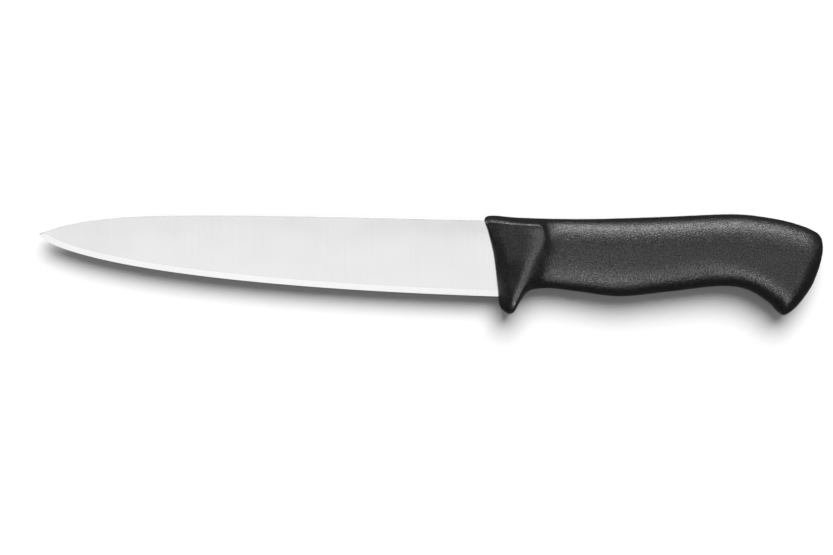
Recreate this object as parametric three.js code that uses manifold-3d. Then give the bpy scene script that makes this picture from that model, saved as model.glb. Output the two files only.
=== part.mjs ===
// Sticking knife: a ground steel blade whose stamped tang is locked inside a one-piece moulded handle.
// Millimetres. The knife lies on its side: X runs from the point to the butt, Y from the cutting edge
// to the spine and Z up through the thickness. Shapes are drawn with X = 0 where the cutting edge meets
// the handle and Y = 0 on the axis of the grip; at the end the knife is moved onto its footprint.
import * as THREE from "three";
import { mergeGeometries, mergeVertices } from "three/addons/utils/BufferGeometryUtils.js";
import Module from "manifold-3d";

const wasm = await Module();
wasm.setup();

// Blade
const bladeLength = 170; // cutting edge from the point to the handle
const bladeHeight = 27.9; // spine to cutting edge at the handle
const bladeThickness = 2.2; // the stamped sheet, kept flat above the grind
const pointThickness = 0.4; // across the spine just behind the point
const pointRise = 23; // the point stands this far above the heel of the cutting edge
const spineCrown = 2.4; // the spine bows up by this control height along its length
const pointSweep = 16; // control height of the cutting edge under the point
const bellySweep = 4.1; // control height of the cutting edge along its belly
const taperStart = 0.45; // share of the length that keeps the full sheet thickness
const grindLine = 0.4; // share of the height, from the spine, that stays flat
const edgeThickness = 0.7; // behind the edge bevel
const edgeBevel = 2.2; // width of the edge bevel
const spineEase = 0.15; // broken corner along the spine

// Tang
const setIn = 4; // depth to which the full blade enters the collar
const tangShare = 0.54; // height at the blade, as a share of the blade height
const tangEndShare = 0.32; // height at its rounded end, as a share of the blade height
const tangFillet = 3; // in the corners between blade and tang
const tangHoleShare = 0.52; // diameter of each hole, as a share of the tang height there
const tangHoleCount = 3; // holes that the handle material fills
const buttCover = 30; // handle left behind the end of the tang
const clearance = 0.3; // moulding gap kept around blade and tang

// Handle
const handleLength = 125; // front of the collar at the spine to the butt
const handleThickness = 19.6; // across the flat sides of the grip
const noseLean = 4.8; // the front of the collar lies this much further forward at the spine
const noseWall = 1.7; // material beside the blade at the front of the collar
const collarCover = 2; // material above the spine at the front of the collar
const cornerRound = 2; // rounding of the collar's upper front corner
const guardReach = 6.5; // the guard reaches this far below the cutting edge
const guardBack = 4.6; // the guard's tip lies this far behind the heel of the cutting edge
const collarLength = 20.3; // along the back of the handle, front to crest
const collarFall = 4.6; // the collar's side falls this much from the crest to the front
const ridgeWidth = 2; // before that fall the side stays nearly flat along the crest
const collarStep = 2.1; // the side drops this much behind the crest
const stepWidth = 7; // width of that drop
const neckHeight = 25.7; // behind the collar
const gripHeight = 28.7; // at the belly
const humpRise = 1.7; // the back rises this much from neck to hump
const hollowRise = 3.8; // the underside rises this much from the belly to the hollow
const beakDrop = 10.7; // the beak reaches this far below the hollow
const gripRoll = 8.5; // width of the rounding along the edges of the grip
const collarRoll = 3; // width of the rounding along the back of the collar
const crownRun = 6.8; // length over which that rounding widens into the grip's
const guardRoll = 2; // width of the rounding along the guard
const guardTaper = 1; // the sides of the guard draw in by this much toward its tip
const guardWidth = 10; // where the collar is narrower than this its side falls less
const noseRoll = 3.5; // width of the rounding at the front of the collar

// Mesh fineness
const bladeSteps = 34;
const baySteps = [16, 14, 16, 22]; // along collar, neck, grip and butt
const rollSteps = 9; // across the rounding at the back and at the underside
const flatSteps = 14; // across the side between them
const arcSteps = 10;
const flatness = 0.0005; // facets this close to one plane become one

const point = (x, y) => new THREE.Vector3(x, y, 0);
const through = (...points) => new THREE.CatmullRomCurve3(points, false, "centripetal");
const bezier = (a, b, c, d) => new THREE.CubicBezierCurve3(a, b, c, d);
const mix = THREE.MathUtils.lerp;

function toManifold(geometry) {
  const vertProperties = new Float32Array(geometry.attributes.position.array);
  const triVerts = new Uint32Array(geometry.index.array);
  return new wasm.Manifold(new wasm.Mesh({ numProp: 3, vertProperties, triVerts }));
}

function toGeometry(manifold) {
  const mesh = manifold.getMesh();
  const geometry = new THREE.BufferGeometry();
  geometry.setAttribute("position", new THREE.BufferAttribute(mesh.vertProperties, 3));
  geometry.setIndex(new THREE.BufferAttribute(mesh.triVerts, 1));
  return geometry;
}

// Shared corners merged, and triangles that have closed up to a line left out.
function welded(geometry) {
  geometry.deleteAttribute("normal");
  geometry.deleteAttribute("uv");
  const merged = mergeVertices(geometry, 1e-4);
  const index = [];
  for (let i = 0; i < merged.index.count; i += 3) {
    const corners = [0, 1, 2].map((k) => merged.index.getX(i + k));
    if (new Set(corners).size === 3) index.push(...corners);
  }
  merged.setIndex(index);
  return merged;
}

// Blade outline: two sweeping curves from the heel that meet at the point.
const spineY = 0.463 * bladeHeight;
const heelY = spineY - bladeHeight;
const bladePoint = point(-bladeLength, heelY + pointRise);
const spineLine = bezier(
  point(0, spineY),
  point(-0.675 * bladeLength, spineY + spineCrown),
  point(-0.87 * bladeLength, spineY + 1.8 * spineCrown),
  bladePoint,
);
const edgeLine = bezier(
  point(0, heelY),
  point(-0.725 * bladeLength, heelY + bellySweep),
  point(-0.97 * bladeLength, heelY + pointSweep),
  bladePoint,
);

// One section of the blade between a spine point and an edge point, grown all round by the given gap.
function bladeSection(spine, edge, halfThickness, gap) {
  const down = edge.clone().sub(spine).normalize();
  const height = spine.distanceTo(edge);
  const bevel = Math.min(edgeBevel, 0.4 * height);
  const shoulder = Math.min(edgeThickness / 2, 0.6 * halfThickness);
  const ease = Math.min(spineEase, 0.3 * halfThickness);
  const at = (distance, z) => spine.clone().addScaledVector(down, distance).setZ(z);
  const side = [
    at(-gap, halfThickness - ease + gap),
    at(ease - gap, halfThickness + gap),
    at(grindLine * height, halfThickness + gap),
    at(height - bevel, shoulder + gap),
  ];
  const cuttingEdge = at(height + 3 * gap, 0);
  const otherSide = side.map((p) => new THREE.Vector3(p.x, p.y, -p.z)).reverse();
  return [...side, cuttingEdge, ...otherSide];
}

// Closed skin over a row of sections; each end closes onto its own point.
function skin(sections, firstEnd, lastEnd) {
  const count = sections[0].length;
  const points = [...sections.flat(), firstEnd, lastEnd];
  const first = points.length - 2;
  const last = points.length - 1;
  const lastRow = (sections.length - 1) * count;
  const index = [];
  for (let i = 0; i < count; i++) {
    const next = (i + 1) % count;
    index.push(first, i, next, last, lastRow + next, lastRow + i);
    for (let row = 0; row < lastRow; row += count) {
      const corner = row + i;
      const opposite = row + next + count;
      index.push(corner, opposite, row + next, corner, corner + count, opposite);
    }
  }
  const geometry = new THREE.BufferGeometry().setFromPoints(points);
  geometry.setIndex(index);
  return geometry;
}

// The ground blade from its set-in heel to the given share of its length.
function bladeBody(gap, lengthShare) {
  const half = bladeThickness / 2;
  const heel = point(setIn + gap, 0);
  const sections = [bladeSection(heel.clone().setY(spineY), heel.clone().setY(heelY), half, gap)];
  const steps = Math.ceil(bladeSteps * lengthShare);
  for (let i = 0; i < steps; i++) {
    const t = (i / steps) * lengthShare;
    const spine = spineLine.getPoint(t);
    const along = -spine.x / bladeLength;
    const taper = THREE.MathUtils.smoothstep(along, taperStart, 1.05);
    sections.push(bladeSection(spine, edgeLine.getPoint(t), mix(half, pointThickness / 2, taper), gap));
  }
  const heelCentre = point(setIn + gap, spineY - bladeHeight / 3);
  const frontEnd = spineLine.getPoint(lengthShare).lerp(edgeLine.getPoint(lengthShare), 0.4);
  return toManifold(skin(sections, heelCentre, frontEnd));
}

// Tang: the sheet behind the blade, with filleted shoulders, a rounded end and a row of holes.
const buttX = handleLength - noseLean;
const tangEndX = buttX - buttCover;

function tangBody(gap) {
  const height = tangShare * bladeHeight;
  const endHeight = tangEndShare * bladeHeight;
  const filletSize = Math.min(tangFillet, spineY - height / 2 - 1);
  const fillet = filletSize - gap;
  const frontX = setIn / 2 - gap;
  const filletX = setIn + filletSize;
  const filletY = height / 2 + filletSize;
  const endCentreX = tangEndX - endHeight / 2;
  const end = endHeight / 2 + gap;
  const quarter = Math.PI / 2;
  const blank = new THREE.Shape();
  blank.moveTo(frontX, -filletY);
  blank.lineTo(filletX - fillet, -filletY);
  blank.absarc(filletX, -filletY, fillet, 2 * quarter, quarter, true);
  blank.lineTo(endCentreX, -end);
  blank.absarc(endCentreX, 0, end, -quarter, quarter, false);
  blank.lineTo(filletX, height / 2 + gap);
  blank.absarc(filletX, filletY, fillet, -quarter, -2 * quarter, true);
  blank.lineTo(frontX, filletY);
  for (let i = 0; i < tangHoleCount; i++) {
    const share = (i + 0.75) / (tangHoleCount + 0.4);
    const hole = new THREE.Path();
    const radius = (mix(height, endHeight, share) * tangHoleShare) / 2;
    hole.absarc(mix(filletX, tangEndX, share), 0, radius - gap, 0, 4 * quarter, true);
    blank.holes.push(hole);
  }
  const depth = bladeThickness + 2 * gap;
  const sheet = new THREE.ExtrudeGeometry(blank, { depth, bevelEnabled: false, curveSegments: arcSteps });
  sheet.translate(0, 0, -depth / 2);
  return toManifold(welded(sheet));
}

// Side view of the handle: one closed outline that runs along the back, round the butt and the beak,
// forward along the underside to the guard and up the front of the collar.
const gripX = (share) => mix(collarLength - noseLean, buttX, share);
const guardX = (behind) => guardBack + behind;
const backY = 0.48 * gripHeight;
const neckY = backY - neckHeight;
const bellyY = backY - gripHeight;
const hollowY = bellyY + hollowRise;
const humpY = backY + humpRise;
const beakY = hollowY - beakDrop;
const collarY = spineY + collarCover;
const guardY = heelY - guardReach;

const backPoints = [
  point(0.15 * cornerRound - noseLean, collarY - 0.3 * cornerRound),
  point(cornerRound - noseLean, collarY),
  point(gripX(-0.08), mix(collarY, backY, 0.58)),
  point(gripX(0.135), backY - 0.1),
  point(gripX(0.42), mix(backY, humpY, 0.38)),
  point(gripX(0.683), humpY),
  point(gripX(0.76), mix(humpY, beakY, 0.015)),
  point(gripX(0.88), mix(humpY, beakY, 0.075)),
  point(gripX(0.961), mix(humpY, beakY, 0.155)),
];
const buttPoints = [
  point(gripX(0.99), mix(humpY, beakY, 0.214)),
  point(buttX, mix(humpY, beakY, 0.354)),
  point(gripX(0.968), mix(humpY, beakY, 0.67)),
  point(gripX(0.932), mix(humpY, beakY, 0.833)),
  point(gripX(0.894), mix(humpY, beakY, 0.951)),
];
const undersidePoints = [
  point(gripX(0.864), beakY),
  point(gripX(0.843), mix(beakY, hollowY, 0.12)),
  point(gripX(0.816), mix(beakY, hollowY, 0.4)),
  point(gripX(0.74), mix(beakY, hollowY, 0.86)),
  point(gripX(0.66), hollowY),
  point(gripX(0.445), mix(hollowY, bellyY, 0.58)),
  point(gripX(0.278), bellyY),
  point(gripX(0.135), mix(bellyY, neckY, 0.6)),
  point(guardX(13.3), neckY),
  point(guardX(6.7), mix(neckY, guardY, 0.125)),
  point(guardX(3.7), mix(neckY, guardY, 0.5)),
  point(guardX(1.5), mix(neckY, guardY, 0.91)),
];
const nosePoints = [
  point(guardX(0), guardY),
  point(0.52 * guardBack, mix(guardY, heelY, 0.17)),
  point(0.2 * guardBack, mix(guardY, heelY, 0.46)),
  point(0, mix(heelY, collarY, 0.12)),
  point(-0.32 * noseLean, mix(heelY, collarY, 0.525)),
  point(-0.78 * noseLean, mix(heelY, collarY, 0.825)),
  point(-noseLean, collarY - cornerRound),
];
const outlinePoints = [...backPoints, ...buttPoints, ...undersidePoints, ...nosePoints];
const outline = new THREE.CatmullRomCurve3(outlinePoints, true, "centripetal");

// The stretch of the outline from one of its points to another, as a curve of its own.
function stretch(from, to) {
  const samples = [];
  for (let i = 0; i <= 60; i++) {
    samples.push(outline.getPoint(mix(from, to, i / 60) / outlinePoints.length));
  }
  return through(...samples);
}
const rearStart = backPoints.length;
const beakStart = rearStart + buttPoints.length;
const guardStart = beakStart + undersidePoints.length;
const backEdge = stretch(0, rearStart);
const buttEdge = stretch(rearStart, beakStart);
const undersideEdge = stretch(guardStart, beakStart);
const noseEdge = stretch(outlinePoints.length, guardStart);

// Share of a curve's length at which it reaches the given X.
function shareAtX(curve, x) {
  let low = 0;
  let high = 1;
  for (let i = 0; i < 30; i++) {
    const middle = (low + high) / 2;
    if (curve.getPointAt(middle).x < x) low = middle;
    else high = middle;
  }
  return low;
}

// Ribs from the back to the underside part the side into collar, neck, grip and butt.
const backStopX = [-Infinity, gripX(-0.012), gripX(0.12), gripX(0.683), Infinity];
const underStopX = [-Infinity, guardX(1), guardX(9.4), gripX(0.66), Infinity];
const backStops = backStopX.map((x) => shareAtX(backEdge, x));
const underStops = underStopX.map((x) => shareAtX(undersideEdge, x));
const backStop = (i) => backEdge.getPointAt(backStops[i]);
const underStop = (i) => undersideEdge.getPointAt(underStops[i]);
const onCrest = (back, down) => point(mix(guardX(0), gripX(0), back), mix(collarY, guardY, down));
const crestLine = through(
  backStop(1),
  onCrest(0.99, 0.152),
  onCrest(1.018, 0.234),
  onCrest(0.78, 0.41),
  onCrest(0.569, 0.575),
  onCrest(0.312, 0.767),
  underStop(1),
);
const ribs = [
  noseEdge,
  crestLine,
  new THREE.LineCurve3(backStop(2), underStop(2)),
  new THREE.LineCurve3(backStop(3), underStop(3)),
  buttEdge,
];

// Point of the side view: bay and place within it along the handle, share of the way from back to underside.
function sidePoint(bay, along, down) {
  const back = backEdge.getPointAt(mix(backStops[bay], backStops[bay + 1], along));
  const under = undersideEdge.getPointAt(mix(underStops[bay], underStops[bay + 1], along));
  const front = ribs[bay].getPointAt(down);
  const rear = ribs[bay + 1].getPointAt(down);
  const frontChord = backStop(bay).lerp(underStop(bay), down);
  const rearChord = backStop(bay + 1).lerp(underStop(bay + 1), down);
  return back
    .lerp(under, down)
    .addScaledVector(front.sub(frontChord), 1 - along)
    .addScaledVector(rear.sub(rearChord), along);
}

// Distance from a point of the side view to a curve.
const polyline = (curve) => curve.getSpacedPoints(240);
const lines = {
  nose: polyline(noseEdge),
  back: polyline(backEdge),
  butt: polyline(buttEdge),
  underside: polyline(undersideEdge),
  crest: polyline(crestLine),
};
const nearest = new THREE.Vector3();
const segment = new THREE.Line3();

function distanceTo(name, p) {
  let best = Infinity;
  const line = lines[name];
  for (let i = 1; i < line.length; i++) {
    segment.set(line[i - 1], line[i]).closestPointToPoint(p, true, nearest);
    best = Math.min(best, nearest.distanceToSquared(p));
  }
  return Math.sqrt(best);
}

// Quarter-round rise from 0 at an edge to 1 at the given width inside it.
function roll(distance, width) {
  const left = Math.max(0, 1 - distance / width);
  return Math.sqrt(1 - left * left);
}

// Several such rises joined into one that stays round where two edges meet in a corner.
function joined(...rises) {
  const sum = rises.reduce((total, rise) => total + rise ** -4 - 1, 1);
  return sum ** -0.25;
}

// How far the side has come from the collar's crest to the grip: 0 at the crest, 1 on the grip.
function behindCrest(bay, p) {
  return bay === 0 ? 0 : THREE.MathUtils.smootherstep(distanceTo("crest", p), 0, stepWidth);
}

// How far the collar's rounding along the back has widened into the grip's, from just ahead of the crest.
function crowned(bay, p) {
  const behind = distanceTo("crest", p) * (bay === 0 ? -1 : 1);
  return THREE.MathUtils.smootherstep(behind, -0.4 * crownRun, 0.6 * crownRun);
}

// How far the collar's side has fallen from its crest, slowly over the ridge and then evenly.
function fallToNose(p) {
  const ahead = distanceTo("crest", p);
  const reach = Math.max(ahead + distanceTo("nose", p), guardWidth);
  const ridge = ridgeWidth + 0.3 * (reach - guardWidth);
  const t = Math.min(1, ahead / ridge);
  const fallen = ridge * t ** 4 * (t * t - 3 * t + 2.5) + Math.max(0, ahead - ridge);
  return (collarFall * fallen) / (reach - ridge / 2);
}

// Half thickness of the handle at a point of the side view.
function halfThickness(bay, p) {
  const swell = THREE.MathUtils.smootherstep(p.x, gripX(0.02), gripX(0.4));
  const step = collarStep * behindCrest(bay, p) * (1 - swell);
  const fall = bay === 0 ? fallToNose(p) : step;
  const guard = 1 - THREE.MathUtils.smootherstep(p.x, guardX(0), guardX(20));
  const taper = guardTaper * guard * THREE.MathUtils.smootherstep(heelY - p.y, -5, 8);
  const side = handleThickness / 2 - fall - taper;
  const rounded = joined(
    roll(distanceTo("back", p), mix(collarRoll, gripRoll, crowned(bay, p))),
    roll(distanceTo("underside", p), mix(gripRoll, guardRoll, guard)),
    roll(distanceTo("butt", p), gripRoll),
  );
  const nose = bladeThickness / 2 + clearance + noseWall;
  const noseShare = mix(Math.min(1, nose / side), 1, roll(distanceTo("nose", p), noseRoll));
  return side * rounded * noseShare;
}

// Rows of the side sheet along the handle, closely spaced at the front and at the butt.
const quarterTurn = Math.PI / 2;
const easeIn = (t) => 1 - Math.cos(quarterTurn * t);
const easeOut = (t) => Math.sin(quarterTurn * t);
const even = (t) => t;
const bayPace = [easeIn, even, even, easeOut];
const rows = [{ bay: 0, along: 0 }];
baySteps.forEach((steps, bay) => {
  for (let i = 1; i <= steps; i++) rows.push({ bay, along: bayPace[bay](i / steps) });
});

// Shares of the way down one row, closely spaced over the two roundings.
const acrossSteps = 2 * rollSteps + flatSteps;

function rowShares({ bay, along }) {
  const length = sidePoint(bay, along, 0).distanceTo(sidePoint(bay, along, 1));
  const toGrip = THREE.MathUtils.clamp(bay - 1 + along, 0, 1);
  const backShare = Math.min(0.4, mix(collarRoll, gripRoll, toGrip) / length);
  const underShare = Math.min(0.4, mix(guardRoll, gripRoll, toGrip) / length);
  const shares = [];
  for (let i = 0; i < rollSteps; i++) shares.push(backShare * easeIn(i / rollSteps));
  for (let i = 0; i < flatSteps; i++) shares.push(mix(backShare, 1 - underShare, i / flatSteps));
  for (let i = rollSteps; i >= 0; i--) shares.push(1 - underShare * easeIn(i / rollSteps));
  return shares;
}

// One side of the handle as a sheet whose back, underside and butt edges lie on the parting plane.
function handleSide() {
  const sheet = new THREE.PlaneGeometry(1, 1, rows.length - 1, acrossSteps);
  const position = sheet.attributes.position;
  rows.forEach((row, i) => {
    rowShares(row).forEach((share, line) => {
      const p = sidePoint(row.bay, row.along, share);
      const onParting = line === 0 || line === acrossSteps || i === rows.length - 1;
      const z = onParting ? 0 : halfThickness(row.bay, p);
      position.setXYZ(line * rows.length + i, p.x, p.y, z);
    });
  });
  return sheet;
}

function mirrored(sheet) {
  const copy = sheet.clone().scale(1, 1, -1);
  const index = Array.from(copy.index.array);
  copy.setIndex(index.map((vertex, i) => index[i + [0, 1, -1][i % 3]]));
  return copy;
}

// The front face of the collar, between the front edges of the two sides.
function noseFace(sheet) {
  const position = sheet.attributes.position;
  const face = new THREE.PlaneGeometry(1, 1, 1, acrossSteps);
  for (let i = 0; i < face.attributes.position.count; i++) {
    const from = Math.floor(i / 2) * rows.length;
    const z = position.getZ(from) * (i % 2 === 0 ? -1 : 1);
    face.attributes.position.setXYZ(i, position.getX(from), position.getY(from), z);
  }
  return face;
}

function handleBody() {
  const side = handleSide();
  const shell = welded(mergeGeometries([side, mirrored(side), noseFace(side)]));
  return toManifold(shell);
}

// Assembly
const blade = bladeBody(0, 1).add(tangBody(0)).simplify(flatness);
const cavity = bladeBody(clearance, 0.2).add(tangBody(clearance));
const handle = handleBody().subtract(cavity).simplify(flatness);

const steel = new THREE.MeshStandardMaterial({ color: 0xc9cbcc, roughness: 0.34, metalness: 1 });
const blackPlastic = new THREE.MeshStandardMaterial({ color: 0x1c1c1d, roughness: 0.55, metalness: 0 });

const knife = new THREE.Group();
knife.name = "sticking_knife";
for (const [name, body, material] of [["blade", blade, steel], ["handle", handle, blackPlastic]]) {
  const mesh = new THREE.Mesh(toGeometry(body), material);
  mesh.name = name;
  knife.add(mesh);
}

// Onto the footprint: the middle of the knife over the origin, the lower side of the handle at Z = 0.
const box = new THREE.Box3().setFromObject(knife);
const middle = box.getCenter(new THREE.Vector3());
for (const mesh of knife.children) mesh.geometry.translate(-middle.x, -middle.y, -box.min.z);

export default knife;
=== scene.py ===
import math
from bisect import bisect_left

import bmesh
import bpy
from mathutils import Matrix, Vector
from mathutils.geometry import interpolate_bezier, intersect_point_line
from mathutils.kdtree import KDTree


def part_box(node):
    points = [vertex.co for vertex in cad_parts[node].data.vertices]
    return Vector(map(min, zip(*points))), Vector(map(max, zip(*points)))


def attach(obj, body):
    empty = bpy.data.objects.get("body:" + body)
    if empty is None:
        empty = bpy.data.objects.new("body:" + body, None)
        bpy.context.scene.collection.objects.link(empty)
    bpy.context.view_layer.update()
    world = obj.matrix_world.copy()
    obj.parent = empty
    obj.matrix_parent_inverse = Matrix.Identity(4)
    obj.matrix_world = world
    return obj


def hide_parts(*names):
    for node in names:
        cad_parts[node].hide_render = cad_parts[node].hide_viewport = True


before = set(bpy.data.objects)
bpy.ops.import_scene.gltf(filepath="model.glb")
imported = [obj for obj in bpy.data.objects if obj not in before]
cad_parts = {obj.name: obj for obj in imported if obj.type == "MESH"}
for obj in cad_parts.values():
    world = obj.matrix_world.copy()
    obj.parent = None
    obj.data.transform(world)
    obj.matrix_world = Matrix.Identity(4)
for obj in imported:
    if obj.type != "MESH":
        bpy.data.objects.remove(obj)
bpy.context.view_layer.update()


# Blade: one piece of stainless sheet, stamped out together with its tang, ground convex on both sides
# down to a thin edge, finished crosswise and given a narrow edge bevel. The heel sits inside the collar,
# and the tang runs on through the handle, which is moulded round it.
mm = 0.001
blade_length = 170 * mm
blade_height = 27.9 * mm
spine_share = 0.463  # of the height at the heel, above the axis of the grip
sheet_half = 1.1 * mm
point_half = 0.2 * mm
thin_start, thin_end = 0.45, 1.05  # shares of the length between which the sheet thins to the point
flat_share = 0.15  # of the height, below the spine, that isn't ground
point_rise = 23 * mm
spine_crown = 2.4 * mm
belly_sweep = 4.1 * mm
point_sweep = 16 * mm
spine_ease = 0.06 * mm
edge_half = 0.35 * mm
edge_bevel = 2.2 * mm
# Toward the point each of these shrinks with the section: half the sheet and the bevel to a share of the
# section's height, the spine's ease and half the edge to a share of half the sheet.
half_limit, bevel_limit, ease_limit, edge_limit = 0.12, 0.4, 0.3, 0.6
heel_depth = 4 * mm
tang_length = 86 * mm
tang_half_height = 7.5 * mm
tang_end_share = 0.6
blade_steps = 110
ease_steps = 4
side_steps = 22
weld = 1e-7  # points closer than this are one
touch = 1e-6  # and points closer than this to a plane lie on it

blade_low, blade_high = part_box("blade")
spine_y = spine_share * blade_height
heel_y = spine_y - blade_height
grip_axis = Vector((blade_low.x + blade_length, blade_low.y - heel_y, (blade_low.z + blade_high.z) / 2))


def mix(a, b, share):
    return a + (b - a) * share


def smootherstep(value, low, high):
    t = min(1, max(0, (value - low) / (high - low)))
    return t * t * t * (t * (6 * t - 15) + 10)


def side_view(x, y):
    """Point of the side view, from where the cutting edge meets the handle and from the grip's axis."""
    return Vector((x, y, 0))


blade_point = side_view(-blade_length, heel_y + point_rise)
spine_sweep = interpolate_bezier(
    side_view(0, spine_y),
    side_view(-0.675 * blade_length, spine_y + spine_crown),
    side_view(-0.87 * blade_length, spine_y + 1.8 * spine_crown),
    blade_point,
    blade_steps + 1,
)
edge_sweep = interpolate_bezier(
    side_view(0, heel_y),
    side_view(-0.725 * blade_length, heel_y + belly_sweep),
    side_view(-0.97 * blade_length, heel_y + point_sweep),
    blade_point,
    blade_steps + 1,
)
spine_sweep.insert(0, side_view(heel_depth, spine_y))
edge_sweep.insert(0, side_view(heel_depth, heel_y))


def ground_section(spine, edge):
    """Half of one section, from the middle of the spine round the side to the cutting edge."""
    height = (edge - spine).length
    half = mix(sheet_half, point_half, smootherstep(-spine.x / blade_length, thin_start, thin_end))
    half = min(half, half_limit * height)
    ease = min(spine_ease, ease_limit * half)
    bevel = min(edge_bevel, bevel_limit * height)
    shoulder = min(edge_half, edge_limit * half)
    flat = flat_share * height
    corners = [(0, 0)]
    for k in range(ease_steps + 1):
        turn = math.radians(90) * k / ease_steps
        corners.append((ease * (1 - math.cos(turn)), half - ease * (1 - math.sin(turn))))
    for k in range(1, side_steps + 1):
        down = mix(ease, height - bevel, k / side_steps)
        thinned = (max(0, down - flat) / max(height - bevel - flat, weld)) ** 2
        corners.append((down, mix(half, shoulder, thinned)))
    corners.append((height, 0))
    direction = (edge - spine).normalized()
    return [spine + direction * down + Vector((0, 0, z)) for down, z in corners]


# Material of each face: 0 the satin side, 1 the bevel below the shoulder, 2 the spine.
sections = [ground_section(*pair) for pair in zip(spine_sweep, edge_sweep)]
shoulder_line = ease_steps + 1 + side_steps
bm = bmesh.new()
bmesh.ops.create_grid(bm, x_segments=blade_steps + 1, y_segments=shoulder_line + 1, size=1)
line_of = {}
for v in bm.verts:
    station = round((v.co.x + 1) / 2 * (blade_steps + 1))
    line_of[v] = round((v.co.y + 1) / 2 * (shoulder_line + 1))
    v.co = sections[station][line_of[v]]
for face in bm.faces:
    first = min(line_of[v] for v in face.verts)
    face.material_index = 1 if first == shoulder_line else 2 if first == 0 else 0
    face.smooth = True
for edge in bm.edges:
    lines = {line_of[v] for v in edge.verts}
    if len(lines) == 1 and lines & {1, ease_steps + 1, shoulder_line, shoulder_line + 1}:
        edge.smooth = False
bmesh.ops.mirror(bm, geom=bm.verts[:] + bm.edges[:] + bm.faces[:], axis="Z", merge_dist=weld)
bmesh.ops.remove_doubles(bm, verts=bm.verts, dist=weld)
bmesh.ops.dissolve_degenerate(bm, edges=bm.edges, dist=weld)

heel_edges = [e for e in bm.edges if e.is_boundary]
heel_face = bmesh.ops.contextual_create(bm, geom=heel_edges)["faces"]
for y in (tang_half_height, -tang_half_height):
    cut = heel_face + [e for f in heel_face for e in f.edges] + [v for f in heel_face for v in f.verts]
    bmesh.ops.bisect_plane(bm, geom=list(set(cut)), plane_co=(0, y, 0), plane_no=(0, 1, 0), dist=touch)
    heel_face = [f for f in bm.faces if all(v.co.x > heel_depth - touch for v in f.verts)]
tang_root = min(heel_face, key=lambda f: abs(f.calc_center_median().y))
tang = bmesh.ops.extrude_face_region(bm, geom=[tang_root])["geom"]
tang_end = [v for v in tang if isinstance(v, bmesh.types.BMVert)]
bmesh.ops.delete(bm, geom=[tang_root], context="FACES_ONLY")
bmesh.ops.translate(bm, verts=tang_end, vec=(tang_length, 0, 0))
bmesh.ops.scale(bm, verts=tang_end, vec=(1, tang_end_share, 1))
bmesh.ops.recalc_face_normals(bm, faces=bm.faces)
bmesh.ops.translate(bm, verts=bm.verts, vec=grip_axis)
blade_mesh = bpy.data.meshes.new("ground_blade")
bm.to_mesh(blade_mesh)
bm.free()
blade = bpy.data.objects.new("ground_blade", blade_mesh)
bpy.context.scene.collection.objects.link(blade)


def finish_of(name, shade, metallic, roughness):
    """A material, its nodes and its shader, with the plain values that nodes may then lead."""
    material = bpy.data.materials.new(name)
    material.use_nodes = True
    shader = material.node_tree.nodes["Principled BSDF"]
    shader.inputs["Base Color"].default_value = (shade, shade, shade, 1)
    shader.inputs["Metallic"].default_value = metallic
    shader.inputs["Roughness"].default_value = roughness
    return material, material.node_tree, shader


def grain_texture(tree, scale, detail, roughness):
    """Noise over the piece's own coordinates, in cycles per metre along X, Y and Z."""
    coordinates = tree.nodes.new("ShaderNodeTexCoord")
    mapping = tree.nodes.new("ShaderNodeMapping")
    mapping.inputs["Scale"].default_value = scale
    noise = tree.nodes.new("ShaderNodeTexNoise")
    noise.inputs["Scale"].default_value = 1
    noise.inputs["Detail"].default_value = detail
    noise.inputs["Roughness"].default_value = roughness
    tree.links.new(coordinates.outputs["Object"], mapping.inputs["Vector"])
    tree.links.new(mapping.outputs["Vector"], noise.inputs["Vector"])
    return noise.outputs["Fac"]


def spread(tree, source, low, high):
    """The middle part of a noise spread out between two values."""
    span = tree.nodes.new("ShaderNodeMapRange")
    span.inputs["From Min"].default_value = 0.3
    span.inputs["From Max"].default_value = 0.7
    span.inputs["To Min"].default_value = low
    span.inputs["To Max"].default_value = high
    tree.links.new(source, span.inputs["Value"])
    return span.outputs["Result"]


def tint(tree, shader, source, dark, light):
    """Base colour between two greys, led by a noise."""
    blend = tree.nodes.new("ShaderNodeMix")
    blend.data_type = "RGBA"
    blend.inputs["A"].default_value = (dark, dark, dark, 1)
    blend.inputs["B"].default_value = (light, light, light, 1)
    tree.links.new(spread(tree, source, 0, 1), blend.inputs["Factor"])
    tree.links.new(blend.outputs["Result"], shader.inputs["Base Color"])


def relief(tree, shader, source, strength, depth):
    """Bump from a height, as deep as given in metres."""
    bump = tree.nodes.new("ShaderNodeBump")
    bump.inputs["Strength"].default_value = strength
    bump.inputs["Distance"].default_value = depth
    tree.links.new(source, bump.inputs["Height"])
    tree.links.new(bump.outputs["Normal"], shader.inputs["Normal"])


def ground_steel(name, shade, rough, line_scale, line_depth):
    """Steel with the fine lines and faint streaks of a grinding belt that ran across the blade."""
    material, tree, shader = finish_of(name, shade, 1.0, rough[0])
    lines = grain_texture(tree, line_scale, 3, 0.6)
    clouds = grain_texture(tree, (60, 90, 90), 2, 0.5)
    streaks = grain_texture(tree, (900, 14, 90), 3, 0.6)
    tree.links.new(spread(tree, clouds, *rough), shader.inputs["Roughness"])
    tint(tree, shader, streaks, 0.99 * shade, 1.01 * shade)
    relief(tree, shader, lines, 0.5, line_depth)
    return material


for steel in (
    ground_steel("satin_side", 0.36, (0.17, 0.21), line_scale=(7000, 70, 300), line_depth=0.002 * mm),
    # The bevel's steel is lighter than the side's (0.4 against 0.36): a painted highlight for the brighter
    # strip the tilted bevel catches.
    ground_steel("honed_bevel_painted_highlight", 0.4, (0.17, 0.21), line_scale=(9000, 300, 300), line_depth=0.001 * mm),
    ground_steel("ground_spine", 0.36, (0.34, 0.42), line_scale=(4000, 200, 60), line_depth=0.004 * mm),
):
    blade_mesh.materials.append(steel)
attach(blade, "root")
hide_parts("blade")


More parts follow.
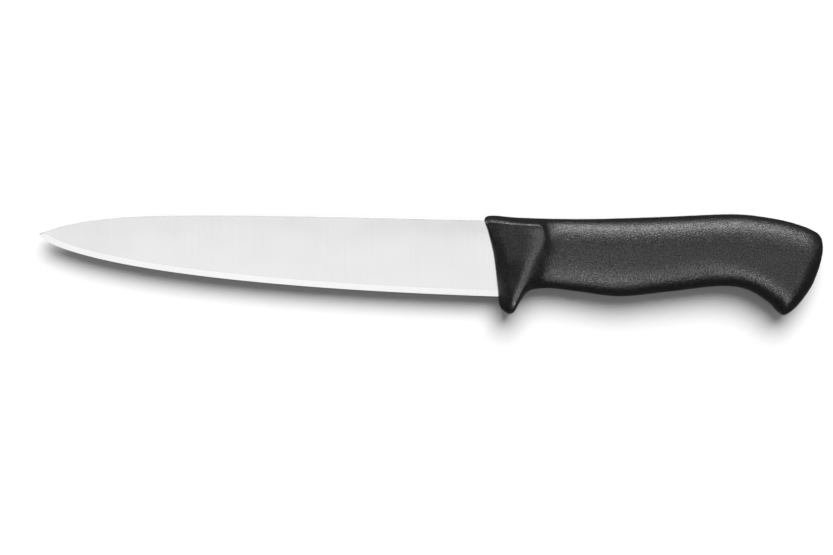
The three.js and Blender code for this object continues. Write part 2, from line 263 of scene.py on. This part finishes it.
# Handle: one black polypropylene moulding, formed round the heel and tang. Its two halves meet in a
# fine parting line along the back, the butt and the underside. The mould is spark-eroded to a grain,
# full over the grip and along the back, and finer and glossier over the collar.
handle_length = 125 * mm
handle_half = 9.8 * mm
back_share = 0.48  # of the grip's height, above its axis
nose_lean = 4.8 * mm
nose_half = 3.1 * mm
collar_cover = 2 * mm
corner_round = 2 * mm
guard_reach = 6.5 * mm
guard_back = 4.6 * mm
collar_length = 20.3 * mm
collar_slope = 0.35
guard_slope = 0.6
ridge_width = 3.6 * mm
ridge_gain = 0.5  # the ridge widens by this share of what the collar gains over guard_width
guard_width = 10 * mm  # up to this width of collar its side falls with the guard's slope
collar_width = 15 * mm  # and from this width with the collar's
collar_step = 2.1 * mm
step_width = 8 * mm
step_power = 0.8  # under 1, so the step is steeper just behind the crest
swell_start, swell_end = 0.02, 0.4  # shares of the grip over which it swells up again behind the step
neck_height = 25.7 * mm
grip_height = 28.7 * mm
hump_rise = 1.69 * mm
hollow_rise = 3.8 * mm
beak_drop = 10.68 * mm
beak_from, beak_full = 72 * mm, 100 * mm  # where the underside's crown starts to tighten, and has done so
guard_run = 20  # mm behind the guard's tip, where its form has faded into the grip's
guard_taper = 1 * mm
taper_above, taper_below = 5 * mm, 8 * mm  # of the cutting edge, between which the guard draws in
# Widths of the rolled edges, and how full each is: 2 is round, less is crisper and more is softer.
grip_crown, grip_fullness = 14 * mm, 2.5
belly_crown = 13 * mm
beak_roll = 8.6 * mm
butt_roll, butt_fullness = 6.4 * mm, 2.2
collar_roll, collar_fullness = 3 * mm, 1.6
guard_roll, guard_fullness = 1.3 * mm, 2
nose_roll, nose_fullness = 4.8 * mm, 2
crown_run = 5.5 * mm  # along which the collar's roll widens into the grip's crown
crown_ahead = 0.25  # share of that run that lies ahead of the crest
meeting_power = 4  # how closely the rolls keep to their own form where two of them meet
parting_half = 0.1 * mm
parting_depth = 0.07 * mm
parting_inset = 0.03  # share of a bay that gives the parting line's direction inward
slot_gap = 0.06 * mm
slot_floor = 2.5 * mm
slot_row_gap = 2e-4  # share of the nose from an end of the slot to the row on either side of it
collar_grain = 0.45  # of the grip's grain
bay_steps = (44, 30, 36, 54)
rows_down = 84

butt_x = handle_length - nose_lean
back_y = back_share * grip_height
neck_y = back_y - neck_height
belly_y = back_y - grip_height
hollow_y = belly_y + hollow_rise
hump_y = back_y + hump_rise
beak_y = hollow_y - beak_drop
collar_y = spine_y + collar_cover
guard_y = heel_y - guard_reach


def grip_x(share):
    """Place along the grip, at a share of the way from the collar's end to the butt."""
    return mix(collar_length - nose_lean, butt_x, share)


def guard_x(behind):
    """Place behind the guard's tip, in millimetres."""
    return guard_back + behind * mm


back_points = [
    side_view(0.15 * corner_round - nose_lean, collar_y - 0.3 * corner_round),
    side_view(corner_round - nose_lean, collar_y),
    side_view(grip_x(-0.08), mix(collar_y, back_y, 0.58)),
    side_view(grip_x(0.135), back_y - 0.1 * mm),
    side_view(grip_x(0.42), mix(back_y, hump_y, 0.38)),
    side_view(grip_x(0.683), hump_y),
    side_view(grip_x(0.76), mix(hump_y, beak_y, 0.015)),
    side_view(grip_x(0.88), mix(hump_y, beak_y, 0.075)),
    side_view(grip_x(0.961), mix(hump_y, beak_y, 0.155)),
]
butt_points = [
    side_view(grip_x(0.99), mix(hump_y, beak_y, 0.214)),
    side_view(butt_x, mix(hump_y, beak_y, 0.354)),
    side_view(grip_x(0.968), mix(hump_y, beak_y, 0.67)),
    side_view(grip_x(0.932), mix(hump_y, beak_y, 0.833)),
    side_view(grip_x(0.894), mix(hump_y, beak_y, 0.951)),
]
underside_points = [
    side_view(grip_x(0.864), beak_y),
    side_view(grip_x(0.843), mix(beak_y, hollow_y, 0.12)),
    side_view(grip_x(0.816), mix(beak_y, hollow_y, 0.4)),
    side_view(grip_x(0.74), mix(beak_y, hollow_y, 0.86)),
    side_view(grip_x(0.66), hollow_y),
    side_view(grip_x(0.445), mix(hollow_y, belly_y, 0.58)),
    side_view(grip_x(0.278), belly_y),
    side_view(grip_x(0.135), mix(belly_y, neck_y, 0.6)),
    side_view(guard_x(13.3), neck_y),
    side_view(guard_x(6.7), mix(neck_y, guard_y, 0.125)),
    side_view(guard_x(3.7), mix(neck_y, guard_y, 0.5)),
    side_view(guard_x(1.5), mix(neck_y, guard_y, 0.91)),
]
nose_points = [
    side_view(guard_x(0), guard_y),
    side_view(0.52 * guard_back, mix(guard_y, heel_y, 0.17)),
    side_view(0.2 * guard_back, mix(guard_y, heel_y, 0.46)),
    side_view(0, mix(heel_y, collar_y, 0.12)),
    side_view(-0.32 * nose_lean, mix(heel_y, collar_y, 0.525)),
    side_view(-0.78 * nose_lean, mix(heel_y, collar_y, 0.825)),
    side_view(-nose_lean, collar_y - corner_round),
]


def curve_through(points, closed):
    """Spans of a smooth curve through points, each a list of close points."""
    count = len(points)
    spans = []
    for i in range(count if closed else count - 1):
        a, b = points[i], points[(i + 1) % count]
        before = points[i - 1] if closed or i > 0 else 2 * a - b
        after = points[(i + 2) % count] if closed or i + 2 < count else 2 * b - a
        reach = [math.sqrt((q - p).length) for p, q in ((before, a), (a, b), (b, after))]
        leave = (a - before) / reach[0] - (b - before) / (reach[0] + reach[1]) + (b - a) / reach[1]
        arrive = (b - a) / reach[1] - (after - a) / (reach[1] + reach[2]) + (after - b) / reach[2]
        third = reach[1] / 3
        spans.append(interpolate_bezier(a, a + leave * third, b - arrive * third, b, 33))
    return spans


def joined_spans(spans):
    return spans[0][:1] + [p for span in spans for p in span[1:]]


def walk(line):
    """Place on a line at a share of its length."""
    lengths = [0.0]
    for a, b in zip(line, line[1:]):
        lengths.append(lengths[-1] + (b - a).length)

    def place(share):
        want = share * lengths[-1]
        i = min(max(bisect_left(lengths, want), 1), len(line) - 1)
        return line[i - 1].lerp(line[i], (want - lengths[i - 1]) / (lengths[i] - lengths[i - 1]))

    return place


def nearness(line):
    """Distance from a point of the side view to a line."""
    tree = KDTree(len(line))
    for i, p in enumerate(line):
        tree.insert(p, i)
    tree.balance()

    def distance(p):
        _, i, best = tree.find(p)
        for a, b in ((i - 1, i), (i, i + 1)):
            if a >= 0 and b < len(line):
                foot, share = intersect_point_line(p, line[a], line[b])
                if 0 <= share <= 1:
                    best = min(best, (foot - p).length)
        return best

    return distance


outline = curve_through(back_points + butt_points + underside_points + nose_points, True)
butt_at = len(back_points)
underside_at = butt_at + len(butt_points)
nose_at = underside_at + len(underside_points)
back_line = joined_spans(outline[:butt_at])
butt_line = joined_spans(outline[butt_at:underside_at])
underside_line = joined_spans(outline[underside_at:nose_at])[::-1]
nose_line = joined_spans(outline[nose_at:])[::-1]
along_back, along_butt = walk(back_line), walk(butt_line)
along_underside, down_nose = walk(underside_line), walk(nose_line)


def share_until(place, before):
    """Share of a line's length up to which its places still come before something."""
    low, high = 0.0, 1.0
    for _ in range(40):
        middle = (low + high) / 2
        if before(place(middle)):
            low = middle
        else:
            high = middle
    return low


def bay_stops(place, crest, neck, hump):
    """Shares of a line's length where the four bays start and end."""
    return [0.0] + [share_until(place, lambda p: p.x < x) for x in (crest, neck, hump)] + [1.0]


back_stops = bay_stops(along_back, grip_x(0.004), grip_x(0.12), grip_x(0.683))
under_stops = bay_stops(along_underside, guard_x(1), guard_x(9.4), grip_x(0.66))
back_corners = [along_back(share) for share in back_stops]
under_corners = [along_underside(share) for share in under_stops]


def on_crest(back, down):
    """Point on the collar, at shares of the way back from the guard's tip and down from the top."""
    return side_view(mix(guard_x(0), grip_x(0), back), mix(collar_y, guard_y, down))


crest_points = [
    back_corners[1],
    on_crest(1.055, 0.13),
    on_crest(1.05, 0.23),
    on_crest(0.945, 0.325),
    on_crest(0.79, 0.41),
    on_crest(0.57, 0.575),
    on_crest(0.318, 0.767),
    under_corners[1],
]
crest_line = joined_spans(curve_through(crest_points, False))
ribs = [
    down_nose,
    walk(crest_line),
    walk([back_corners[2], under_corners[2]]),
    walk([back_corners[3], under_corners[3]]),
    along_butt,
]
from_back, from_underside = nearness(back_line), nearness(underside_line)
from_butt, from_nose, from_crest = nearness(butt_line), nearness(nose_line), nearness(crest_line)


def side_point(bay, along, down):
    """Point of the side view in one of the four bays: collar, neck, grip and butt."""
    back = along_back(mix(back_stops[bay], back_stops[bay + 1], along))
    under = along_underside(mix(under_stops[bay], under_stops[bay + 1], along))
    front = ribs[bay](down) - back_corners[bay].lerp(under_corners[bay], down)
    rear = ribs[bay + 1](down) - back_corners[bay + 1].lerp(under_corners[bay + 1], down)
    return back.lerp(under, down) + front * (1 - along) + rear * along


def roll(distance, width, fullness):
    """Rise of a rolled edge, from 0 at the edge to 1 at its full width."""
    return (1 - max(0, 1 - distance / width) ** fullness) ** (1 / fullness)


def joined_rise(*rises):
    """Rise where several rolled edges meet, softly the least of theirs."""
    if min(rises) <= 0:
        return 0
    return sum((rise ** -meeting_power - 1 for rise in rises), 1) ** (-1 / meeting_power)


def behind_crest(bay, p):
    """How far down the step behind the crest a point lies: 0 on the collar, 1 past the step."""
    if bay == 0:
        return 0
    return smootherstep((from_crest(p) / step_width) ** step_power, 0, 1)


def crowned(bay, p):
    """How far the collar's roll has widened into the grip's crown."""
    behind = -from_crest(p) if bay == 0 else from_crest(p)
    return smootherstep(behind, -crown_ahead * crown_run, (1 - crown_ahead) * crown_run)


def fall_to_nose(p):
    """How far the collar's side has fallen from its crest. Over the ridge the slope grows from nothing,
    as a smootherstep beside the guard and as 2t - t^2 higher up, and then it stays the same."""
    ahead = from_crest(p)
    width = max(ahead + from_nose(p), guard_width)
    ridge = ridge_width + ridge_gain * (width - guard_width)
    upper = smootherstep(width, guard_width, collar_width)
    t = min(1, ahead / ridge)
    eased = mix(t ** 4 * (t * t - 3 * t + 2.5), t * t * (1 - t / 3), upper)
    return mix(guard_slope, collar_slope, upper) * (ridge * eased + max(0, ahead - ridge))


def half_thickness(bay, p):
    """Height of the handle's side above the middle plane."""
    behind, crown = behind_crest(bay, p), crowned(bay, p)
    swell = smootherstep(p.x, grip_x(swell_start), grip_x(swell_end))
    fall = fall_to_nose(p) if bay == 0 else collar_step * behind * (1 - swell)
    guard = 1 - smootherstep(p.x, guard_x(0), guard_x(guard_run))
    beak = smootherstep(p.x, beak_from, beak_full)
    taper = guard_taper * guard * smootherstep(heel_y - p.y, -taper_above, taper_below)
    side = handle_half - fall - taper
    under_roll = mix(mix(belly_crown, beak_roll, beak), guard_roll, guard)
    rounded = joined_rise(
        roll(from_back(p), mix(collar_roll, grip_crown, crown), mix(collar_fullness, grip_fullness, crown)),
        roll(from_underside(p), under_roll, mix(grip_fullness, guard_fullness, guard)),
        roll(from_butt(p), butt_roll, butt_fullness),
    )
    return side * rounded * mix(min(1, nose_half / side), 1, roll(from_nose(p), nose_roll, nose_fullness))


def slot_half(y):
    """Half the width of the slot that the blade sits in, at a height on the collar's front."""
    down = spine_y - y
    ground = (1 - flat_share) * blade_height - edge_bevel
    thinned = (max(0, down - flat_share * blade_height) / ground) ** 2
    return mix(sheet_half, edge_half, min(1, thinned)) + slot_gap


# Rows run from the back to the underside, close together at both, with a pair at each end of the slot.
# The first and the last are the bottom of the parting line.
rows = [(1 - math.cos(math.pi * k / rows_down)) / 2 for k in range(rows_down + 1)]
slot_rows = []
for y in (spine_y + slot_gap, heel_y - slot_gap):
    share = share_until(down_nose, lambda p: p.y > y)
    slot_rows += [share - slot_row_gap, share + slot_row_gap]
rows = [0.0] + sorted(rows + slot_rows) + [1.0]

# Columns run from the slot's floor out to its mouth, over the four bays and into the butt's parting line.
columns = [("floor_middle", 0, 0.0), ("floor", 0, 0.0), ("mouth", 0, 0.0)]
for bay, steps in enumerate(bay_steps):
    for k in range(0 if bay == 0 else 1, steps + 1):
        share = k / steps
        if bay == 0:
            share = 1 - math.cos(math.radians(90) * share)
        elif bay == 3:
            share = math.sin(math.radians(90) * share)
        columns.append(("side", bay, share))
columns.append(("parting", 3, 1.0))

bm = bmesh.new()
bmesh.ops.create_grid(bm, x_segments=len(columns) - 1, y_segments=len(rows) - 1, size=1)
grain = bm.verts.layers.float.new("grain")
last_row, last_column = len(rows) - 1, len(columns) - 1
for v in bm.verts:
    row = round((v.co.y + 1) / 2 * last_row)
    kind, bay, along = columns[round((v.co.x + 1) / 2 * last_column)]
    down = rows[row]
    p = side_point(bay, along, down)
    if kind in ("floor_middle", "floor", "mouth"):
        z = 0
        if slot_rows[1] <= down <= slot_rows[2]:
            z = 0 if kind == "floor_middle" else slot_half(p.y)
            p.x = p.x if kind == "mouth" else slot_floor
    elif row in (0, last_row) or kind == "parting":
        inner_along = min(along, 1 - parting_inset)
        inner_down = min(max(down, parting_inset), 1 - parting_inset)
        p = p + (side_point(bay, inner_along, inner_down) - p).normalized() * parting_depth
        z = 0
    else:
        z = max(half_thickness(bay, p), parting_half)
    v.co = p + Vector((0, 0, z))
    back_grain = 1 - smootherstep(from_back(p), collar_roll, 2 * collar_roll)
    v[grain] = mix(collar_grain, 1, max(behind_crest(bay, p), back_grain))
for face in bm.faces:
    face.smooth = True
bmesh.ops.mirror(bm, geom=bm.verts[:] + bm.edges[:] + bm.faces[:], axis="Z", merge_dist=weld)
bmesh.ops.remove_doubles(bm, verts=bm.verts, dist=weld)
bmesh.ops.dissolve_degenerate(bm, edges=bm.edges, dist=weld)
bmesh.ops.recalc_face_normals(bm, faces=bm.faces)
bmesh.ops.translate(bm, verts=bm.verts, vec=grip_axis)
handle_mesh = bpy.data.meshes.new("moulded_handle")
bm.to_mesh(handle_mesh)
bm.free()
handle_mesh.set_sharp_from_angle(angle=math.radians(50))
handle = bpy.data.objects.new("moulded_handle", handle_mesh)
bpy.context.scene.collection.objects.link(handle)

plastic_dark, plastic_light = 0.003, 0.01
collar_rough, grip_rough = (0.29, 0.33), (0.32, 0.38)
collar_gloss, grip_gloss = 0.9, 0.485
dull_fleck, bright_fleck = 0.7, 1.3
grain_depth = 0.17 * mm


def multiplied(tree, first, second):
    """Two values multiplied by each other."""
    product = tree.nodes.new("ShaderNodeMath")
    product.operation = "MULTIPLY"
    tree.links.new(first, product.inputs[0])
    tree.links.new(second, product.inputs[1])
    return product.outputs["Value"]


plastic, tree, shader = finish_of("black_polypropylene", plastic_dark, 0.0, grip_rough[1])
grain_share = tree.nodes.new("ShaderNodeAttribute")
grain_share.attribute_name = "grain"
grained = grain_share.outputs["Fac"]
erosion = grain_texture(tree, (2250, 2250, 2250), 1, 0.5)
flecks = grain_texture(tree, (2300, 2300, 2300), 0, 0.5)
clouds = grain_texture(tree, (220, 220, 220), 3, 0.6)
relief(tree, shader, multiplied(tree, erosion, grained), 1.0, grain_depth)
tint(tree, shader, flecks, plastic_dark, plastic_light)
rough_blend = tree.nodes.new("ShaderNodeMix")
tree.links.new(grained, rough_blend.inputs["Factor"])
tree.links.new(spread(tree, clouds, *collar_rough), rough_blend.inputs["A"])
tree.links.new(spread(tree, clouds, *grip_rough), rough_blend.inputs["B"])
tree.links.new(rough_blend.outputs["Result"], shader.inputs["Roughness"])
gloss = tree.nodes.new("ShaderNodeMapRange")
gloss.inputs["To Min"].default_value = collar_gloss
gloss.inputs["To Max"].default_value = grip_gloss
tree.links.new(grained, gloss.inputs["Value"])
flecked_gloss = multiplied(tree, gloss.outputs["Result"], spread(tree, flecks, dull_fleck, bright_fleck))
tree.links.new(flecked_gloss, shader.inputs["Specular IOR Level"])
handle_mesh.materials.append(plastic)
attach(handle, "root")
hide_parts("handle")


# Studio: a plain white paper floor under the knife. A broad key from beyond the spine and a soft sky
# light the floor and throw the shadow. Softboxes only show as reflections: two in both pieces, the
# walls round the knife and a small one over the heel in the steel, and the others in the plastic.
floor_half = 6
bm = bmesh.new()
bmesh.ops.create_grid(bm, x_segments=1, y_segments=1, size=floor_half)
floor_mesh = bpy.data.meshes.new("floor")
bm.to_mesh(floor_mesh)
bm.free()
floor = bpy.data.objects.new("floor", floor_mesh)
bpy.context.scene.collection.objects.link(floor)
paper, tree, shader = finish_of("white_paper", 0.9, 0.0, 0.9)
fibres = grain_texture(tree, (900, 900, 900), 3, 0.6)
tint(tree, shader, fibres, 0.897, 0.903)
tree.links.new(spread(tree, fibres, 0.88, 0.92), shader.inputs["Roughness"])
relief(tree, shader, fibres, 0.1, 0.005 * mm)
floor_mesh.materials.append(paper)
floor.visible_glossy = False

light_distance = 2
world_strength = 0.07


def aimed(light, to_spine, to_butt):
    """Puts a light above the knife, leaning from the vertical by two angles, and turns it to the knife."""
    lean = Vector((math.tan(math.radians(to_butt)), math.tan(math.radians(to_spine)), 1)).normalized()
    light.location = lean * light_distance
    light.rotation_euler = lean.to_track_quat("Z", "Y").to_euler()
    bpy.context.scene.collection.objects.link(light)


def kept_to(piece):
    """Collection that keeps a softbox to one piece."""
    alone = bpy.data.collections.new(piece.name + "_alone")
    alone.objects.link(piece)
    return alone


# For each sun: its lean to the spine and to the butt, its angle across and its strength.
suns = {
    "key": (30, 8, 38, 3.55),
    "sky": (0, 0, 170, 0.5),
}
for name, (to_spine, to_butt, across, strength) in suns.items():
    sun = bpy.data.lights.new(name, "SUN")
    sun.energy = strength
    sun.angle = math.radians(across)
    light = bpy.data.objects.new(name, sun)
    light.visible_glossy = False
    aimed(light, to_spine, to_butt)

# For each softbox: its lean to the spine and to the butt, its angles across, its radiance and what it is
# kept to.
both, steel_alone, plastic_alone = None, kept_to(blade), kept_to(handle)
softboxes = {
    "overhead": (-10.9, -7, 37, 36.2, 2.2, both),
    "fill": (-3, 0, 70, 50, 0.1, both),
    "side": (40, 44, 24, 34, 3, plastic_alone),
    "front": (-42, 0, 36, 11, 14.5, plastic_alone),
    "back": (62, -9, 62, 15, 19.5, plastic_alone),
    "heel": (6, 11, 16, 16, 0.75, steel_alone),
    "wall beyond": (58, 0, 90, 60, 1.1, steel_alone),
    "wall before": (-58, 0, 90, 60, 1.1, steel_alone),
    "wall left": (0, -58, 90, 60, 1.1, steel_alone),
    "wall right": (0, 58, 90, 60, 1.1, steel_alone),
}
for name, (to_spine, to_butt, wide, deep, radiance, lit) in softboxes.items():
    box = bpy.data.lights.new(name, "AREA")
    box.shape = "RECTANGLE"
    box.size = 2 * light_distance * math.tan(math.radians(wide / 2))
    box.size_y = 2 * light_distance * math.tan(math.radians(deep / 2))
    box.energy = radiance * math.pi * box.size * box.size_y
    light = bpy.data.objects.new(name, box)
    light.visible_camera = False
    light.visible_diffuse = False
    if lit:
        light.light_linking.receiver_collection = lit
    aimed(light, to_spine, to_butt)

studio = bpy.data.worlds.new("studio")
studio.use_nodes = True
studio.node_tree.nodes["Background"].inputs["Color"].default_value = (1, 1, 1, 1)
studio.node_tree.nodes["Background"].inputs["Strength"].default_value = world_strength
bpy.context.scene.world = studio
bpy.context.scene.view_settings.view_transform = "Standard"


# Camera: straight above the knife, which lies square on, far enough off for a nearly parallel view.
# Its lens is as long as the width of the picture asks for at that height.
picture_width = 308.46 * mm
picture_middle = side_view(-30.03 * mm, -7.96 * mm)
camera_height = 860 * mm
sensor_width = 36
camera_data = bpy.data.cameras.new("camera")
camera = bpy.data.objects.new("camera", camera_data)
camera.location = grip_axis + picture_middle + Vector((0, 0, camera_height))
camera_data.sensor_width = sensor_width
camera_data.lens = sensor_width * camera_height / picture_width
camera_data.clip_start = 0.01
bpy.context.scene.collection.objects.link(camera)
bpy.context.scene.camera = camera
